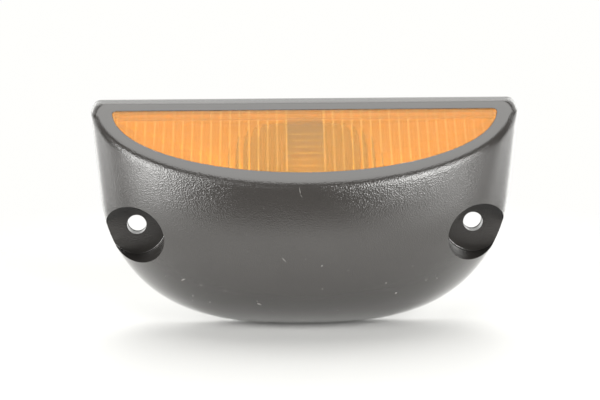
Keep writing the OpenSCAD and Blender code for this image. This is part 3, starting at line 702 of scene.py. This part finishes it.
def amber_plastic():
    """Clear amber, with painted shade in the plain strip, a painted lighter top, painted highlights on the
    ridges and level lines and painted shade along the top edge.
    """
    mat = finish("amber_lens", AMBER_COLOUR, AMBER_ROUGH, vary=0.02, rough_vary=0.02,
                 transmission=AMBER_CLEAR, ior=AMBER_IOR)
    tree = mat.node_tree
    shader = tree.nodes["Principled BSDF"]
    shader.inputs["Specular IOR Level"].default_value = AMBER_SHINE
    at, x, _, z = place_in(tree)
    across = maths(tree, "DIVIDE", maths(tree, "ABSOLUTE", x), FLUTE_PITCH*MM)
    down = maths(tree, "DIVIDE", maths(tree, "SUBTRACT", TOP_H*MM, z), MM*math.cos(RIM_ANGLE))

    # Painted shade: the plain strip darker over its middle stretch down the slant
    plain = ramp(tree, across, *PLAIN_ACROSS)
    plain_shade = product(tree, ramp(tree, down, *PLAIN_SHADE_DOWN), ramp(tree, down, *PLAIN_SHADE_FADE))
    tint(tree, shader, product(tree, plain, plain_shade, PLAIN_SHADE_SHARE), PLAIN_SHADE_COLOUR)

    # Painted light: a lighter band near the top of the lens
    lit_top = product(tree, ramp(tree, down, *LIT_TOP_DOWN), ramp(tree, down, *LIT_TOP_FADE))
    tint(tree, shader, product(tree, lit_top, LIT_TOP_SHARE), LIT_TOP_COLOUR)

    # Painted highlights on the ridges between the flutes, weaker on the outer ones
    ridge_highlight = ramp(tree, off_whole(tree, across), RIDGE_W, 0.0)
    strength = ramp(tree, across, *RIDGE_ACROSS, *RIDGE_HIGHLIGHT_SHARE)
    fluted = ramp(tree, across, *FLUTED_ACROSS)
    tint(tree, shader, product(tree, ridge_highlight, strength, fluted), RIDGE_HIGHLIGHT_COLOUR)

    # Painted highlights also on the ridges between the cross flutes, on the face alone and most of all in
    # the plain strip
    level = maths(tree, "DIVIDE", maths(tree, "SUBTRACT", down, RIM_TOP_W), BAND_PITCH)
    rim_out = (RIM_START + GASKET_T)*math.cos(RIM_ANGLE) + TOP_H*math.sin(RIM_ANGLE)
    front = ramp(tree, out_of_rim(tree, at), *((rim_out + out)*MM for out in FRONT_OUT))
    line = ramp(tree, off_whole(tree, level), LINE_W, 0.0)
    strength = ramp(tree, plain, 0.0, 1.0, *LINE_HIGHLIGHT_SHARE)
    tint(tree, shader, product(tree, line, ramp(tree, down, *LINE_DOWN), front, strength), RIDGE_HIGHLIGHT_COLOUR)

    # Painted shade: darker along the top edge, where the lens meets the rim
    tint(tree, shader, ramp(tree, down, *EDGE_SHADE_DOWN, 0.0, EDGE_SHADE_SHARE), EDGE_SHADE_COLOUR)
    return mat


# The lamp

shell = build_housing()
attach(shell, "root")
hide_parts("housing")
dress(shell, grained_plastic())

SILVER = finish("mirror_coat", (0.90, 0.90, 0.91), 0.42, metal=0.5, vary=0.02, rough_vary=0.05)
mirror = build_mirror()
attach(mirror, "root")
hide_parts("reflector")
dress(mirror, SILVER)

AMBER = amber_plastic()
window = build_lens()
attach(window, "root")
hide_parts("lens")
dress(window, AMBER)

# Looks of the solids, by node
LOOKS = {
    "lens": AMBER,
    "lens_seal": finish("seal_black", (0.02, 0.02, 0.02), 0.7, grain=(2500, 0.00004)),
    "reflector": SILVER,
    "back_cover": finish("cover_grey", (0.05, 0.05, 0.05), 0.5, grain=(1800, 0.00005)),
    "mounting_gasket": finish("gasket_black", (0.03, 0.03, 0.029), 0.75, grain=(2200, 0.00008)),
    "cover_screws": finish("zinc", (0.62, 0.63, 0.64), 0.3, metal=1.0, grain=(3000, 0.00001)),
    "cable_grommet": finish("grommet_black", (0.025, 0.025, 0.025), 0.6, grain=(2500, 0.00004)),
    "holder_bracket": finish("bracket_zinc", (0.6, 0.61, 0.6), 0.32, metal=1.0, grain=(2500, 0.00001)),
    "bracket_rivets": finish("rivet_zinc", (0.62, 0.62, 0.62), 0.35, metal=1.0, grain=(3000, 0.00001)),
    "bulb_socket": finish("sleeve_plate", (0.66, 0.62, 0.5), 0.3, metal=1.0, grain=(2500, 0.00001)),
    "contact_disc": finish("brown_resin", (0.14, 0.06, 0.03), 0.45, grain=(3000, 0.00003)),
    "centre_contact": finish("contact_brass", (0.75, 0.55, 0.24), 0.28, metal=1.0, grain=(4000, 0.00001)),
    "contact_spring": finish("spring_wire", (0.55, 0.56, 0.58), 0.25, metal=1.0, grain=(6000, 0.00001)),
    "supply_terminal": finish("supply_brass", (0.75, 0.55, 0.24), 0.3, metal=1.0, grain=(4000, 0.00001)),
    "earth_terminal": finish("earth_brass", (0.75, 0.55, 0.24), 0.3, metal=1.0, grain=(4000, 0.00001)),
    "bulb_glass": finish("bulb_clear", (0.97, 0.98, 0.98), 0.03, vary=0.01, rough_vary=0.01,
                         transmission=1.0),
    "bulb_stem": finish("stem_clear", (0.95, 0.97, 0.96), 0.08, vary=0.02, rough_vary=0.04,
                        transmission=1.0),
    "filament": finish("tungsten", (0.25, 0.25, 0.26), 0.4, metal=1.0, vary=0.2),
    "filament_leads": finish("lead_wire", (0.5, 0.5, 0.5), 0.35, metal=1.0, vary=0.2),
    "bulb_cap": finish("cap_plate", (0.7, 0.62, 0.42), 0.28, metal=1.0, grain=(3000, 0.00001)),
    "bayonet_pins": finish("pin_plate", (0.7, 0.62, 0.42), 0.3, metal=1.0, grain=(4000, 0.00001)),
    "cap_insulator": finish("black_vitrite", (0.01, 0.01, 0.012), 0.15, grain=(1500, 0.00002)),
    "cap_contact": finish("solder", (0.5, 0.5, 0.48), 0.4, metal=1.0, grain=(2500, 0.00003)),
}
for name, look in LOOKS.items():
    dress(nodes[name], look)
    smooth(nodes[name])


# Floor: sizes in metres, and the darker colour that the camera sees, so that the shadow shows

floor_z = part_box("housing")[0].z
FLOOR_R, FLOOR_SOLID, FLOOR_FADE, FLOOR_SIDES = 0.2, 0.07, 0.19, 64
FLOOR_COLOUR, FLOOR_SEEN, FLOOR_ROUGH = (0.90, 0.90, 0.89, 1), (0.58, 0.58, 0.5742, 1), 0.6


def build_floor():
    """Round pale table under the lamp that fades out into the white round it."""
    turns = [2*math.pi*k/FLOOR_SIDES for k in range(FLOOR_SIDES)]
    rim = [(FLOOR_R*math.cos(turn), FLOOR_R*math.sin(turn), floor_z) for turn in turns]
    mesh = bpy.data.meshes.new("floor")
    mesh.from_pydata(rim, [], [list(range(FLOOR_SIDES))])
    piece = bpy.data.objects.new("floor", mesh)
    bpy.context.scene.collection.objects.link(piece)
    mat = bpy.data.materials.new("floor_white")
    mat.use_nodes = True
    tree = mat.node_tree
    shader = tree.nodes["Principled BSDF"]
    camera_ray = node(tree, "ShaderNodeLightPath").outputs["Is Camera Ray"]
    link(tree, mix_colours(tree, camera_ray, FLOOR_COLOUR, FLOOR_SEEN), shader.inputs["Base Color"])
    shader.inputs["Roughness"].default_value = FLOOR_ROUGH
    shader.inputs["Specular IOR Level"].default_value = 0.0
    far = node(tree, "ShaderNodeVectorMath", operation="LENGTH")
    link(tree, node(tree, "ShaderNodeTexCoord").outputs["Object"], far.inputs[0])
    mix = node(tree, "ShaderNodeMixShader")
    link(tree, ramp(tree, far.outputs["Value"], FLOOR_SOLID, FLOOR_FADE), mix.inputs[0])
    link(tree, shader.outputs[0], mix.inputs[1])
    link(tree, node(tree, "ShaderNodeBsdfTransparent").outputs[0], mix.inputs[2])
    link(tree, mix.outputs[0], tree.nodes["Material Output"].inputs["Surface"])
    dress(piece, mat)


# Studio light, with all directions in degrees: azimuth from the front, and elevation
# Soft boxes in front and at the sides: azimuth and elevation of the middle, half sizes, strength
SOFT_BOXES = [
    (-50, 14, 13, 20, 14.0), (-57, -19, 20, 14, 3.3), (-66, -7, 9, 6, 5.0), (-28, 30, 7, 14, 3.2),
    (35, 19, 12, 18, 17.5), (50, -18, 23, 14, 3.3), (58, 2, 8, 14, 4.5),
    (-98, -12, 18, 12, 2.2), (98, -12, 18, 12, 2.2),
]
BOX_BLUR, BACK_BLUR = 3, 4

# Light from straight above, from the sides behind, and from behind, where it grows upwards
TOP_LIGHT, TOP_RISE = 3.9, (62, 70)
SIDE_BACK, SIDE_BACK_AT, SIDE_BACK_HALF = 2.2, (134, 16), (30, 34)
BACK_AT, BACK_HALF, BACK_RISE, BACK_STRENGTH = (170, 22), (12, 42), (8, 62), (1.0, 4.0)

# Colour of all this light, and the strength that the camera sees, which is white
SKY_COLOUR, SEEN_STRENGTH = (1.0, 0.998, 0.98, 1), 1.0


def soft_box(tree, azimuth, elevation, centre, half, blur):
    """1 inside a box of the sky given by its middle and half size in degrees, 0 outside."""
    masks = []
    for angle, middle, reach in ((azimuth, centre[0], half[0]), (elevation, centre[1], half[1])):
        away = maths(tree, "ABSOLUTE", maths(tree, "SUBTRACT", angle, math.radians(middle)))
        masks.append(ramp(tree, away, math.radians(reach + blur), math.radians(reach - blur)))
    return product(tree, *masks)


def sky_strength(tree):
    """Strength of the studio light by direction."""
    way = node(tree, "ShaderNodeSeparateXYZ")
    link(tree, node(tree, "ShaderNodeTexCoord").outputs["Generated"], way.inputs[0])
    azimuth = maths(tree, "ARCTAN2", way.outputs["X"], product(tree, way.outputs["Y"], -1.0))
    elevation = maths(tree, "ARCSINE", way.outputs["Z"])
    behind = maths(tree, "ABSOLUTE", azimuth)
    side_back = soft_box(tree, behind, elevation, SIDE_BACK_AT, SIDE_BACK_HALF, BACK_BLUR)
    back = soft_box(tree, behind, elevation, BACK_AT, BACK_HALF, BACK_BLUR)
    rise = ramp(tree, elevation, *map(math.radians, BACK_RISE), *BACK_STRENGTH)
    parts = [product(tree, side_back, SIDE_BACK), product(tree, back, rise)]
    for at, height, half_across, half_up, strength in SOFT_BOXES:
        box = soft_box(tree, azimuth, elevation, (at, height), (half_across, half_up), BOX_BLUR)
        parts.append(product(tree, box, strength))
    light = product(tree, ramp(tree, elevation, *map(math.radians, TOP_RISE)), TOP_LIGHT)
    for part in parts:
        light = maths(tree, "ADD", light, part)
    return light


def build_world():
    world = bpy.data.worlds.new("studio")
    bpy.context.scene.world = world
    world.use_nodes = True
    tree = world.node_tree
    tree.nodes.clear()
    mix = tree.nodes.new("ShaderNodeMix")
    link(tree, node(tree, "ShaderNodeLightPath").outputs["Is Camera Ray"], mix.inputs["Factor"])
    link(tree, sky_strength(tree), mix.inputs["A"])
    mix.inputs["B"].default_value = SEEN_STRENGTH
    sky = node(tree, "ShaderNodeBackground", Color=SKY_COLOUR)
    link(tree, mix.outputs["Result"], sky.inputs["Strength"])
    link(tree, sky.outputs[0], node(tree, "ShaderNodeOutputWorld").inputs["Surface"])


# The photo's camera, from the fit of the housing's outline, rim and holes
PICTURE_PX, FOCAL_PX, SENSOR_MM = 600, 2076.9, 36
VIEW_DISTANCE, VIEW_TARGET = 0.6195, Vector((-1.4*MM, -1.5*MM, 6.27*MM))
VIEW_ELEVATION, VIEW_AZIMUTH, VIEW_ROLL = math.radians(12.217), math.radians(-0.864), math.radians(0.334)
CLIP_START, CLIP_END = 0.01, 50


def build_camera():
    level = math.cos(VIEW_ELEVATION)
    back = Vector((math.sin(VIEW_AZIMUTH)*level, -math.cos(VIEW_AZIMUTH)*level, math.sin(VIEW_ELEVATION)))
    level_right = Vector((math.cos(VIEW_AZIMUTH), math.sin(VIEW_AZIMUTH), 0))
    level_up = back.cross(level_right)
    c, s = math.cos(VIEW_ROLL), math.sin(VIEW_ROLL)
    right, up = c*level_right - s*level_up, s*level_right + c*level_up
    data = bpy.data.cameras.new("camera")
    data.sensor_fit, data.sensor_width = "HORIZONTAL", SENSOR_MM
    data.lens = FOCAL_PX*SENSOR_MM/PICTURE_PX
    data.clip_start, data.clip_end = CLIP_START, CLIP_END
    camera = bpy.data.objects.new("camera", data)
    bpy.context.scene.collection.objects.link(camera)
    turn = Matrix((right, up, back)).transposed().to_4x4()
    camera.matrix_world = Matrix.Translation(VIEW_TARGET + back*VIEW_DISTANCE) @ turn
    bpy.context.scene.camera = camera


build_floor()
build_world()
build_camera()
bpy.context.scene.view_settings.view_transform = "Standard"
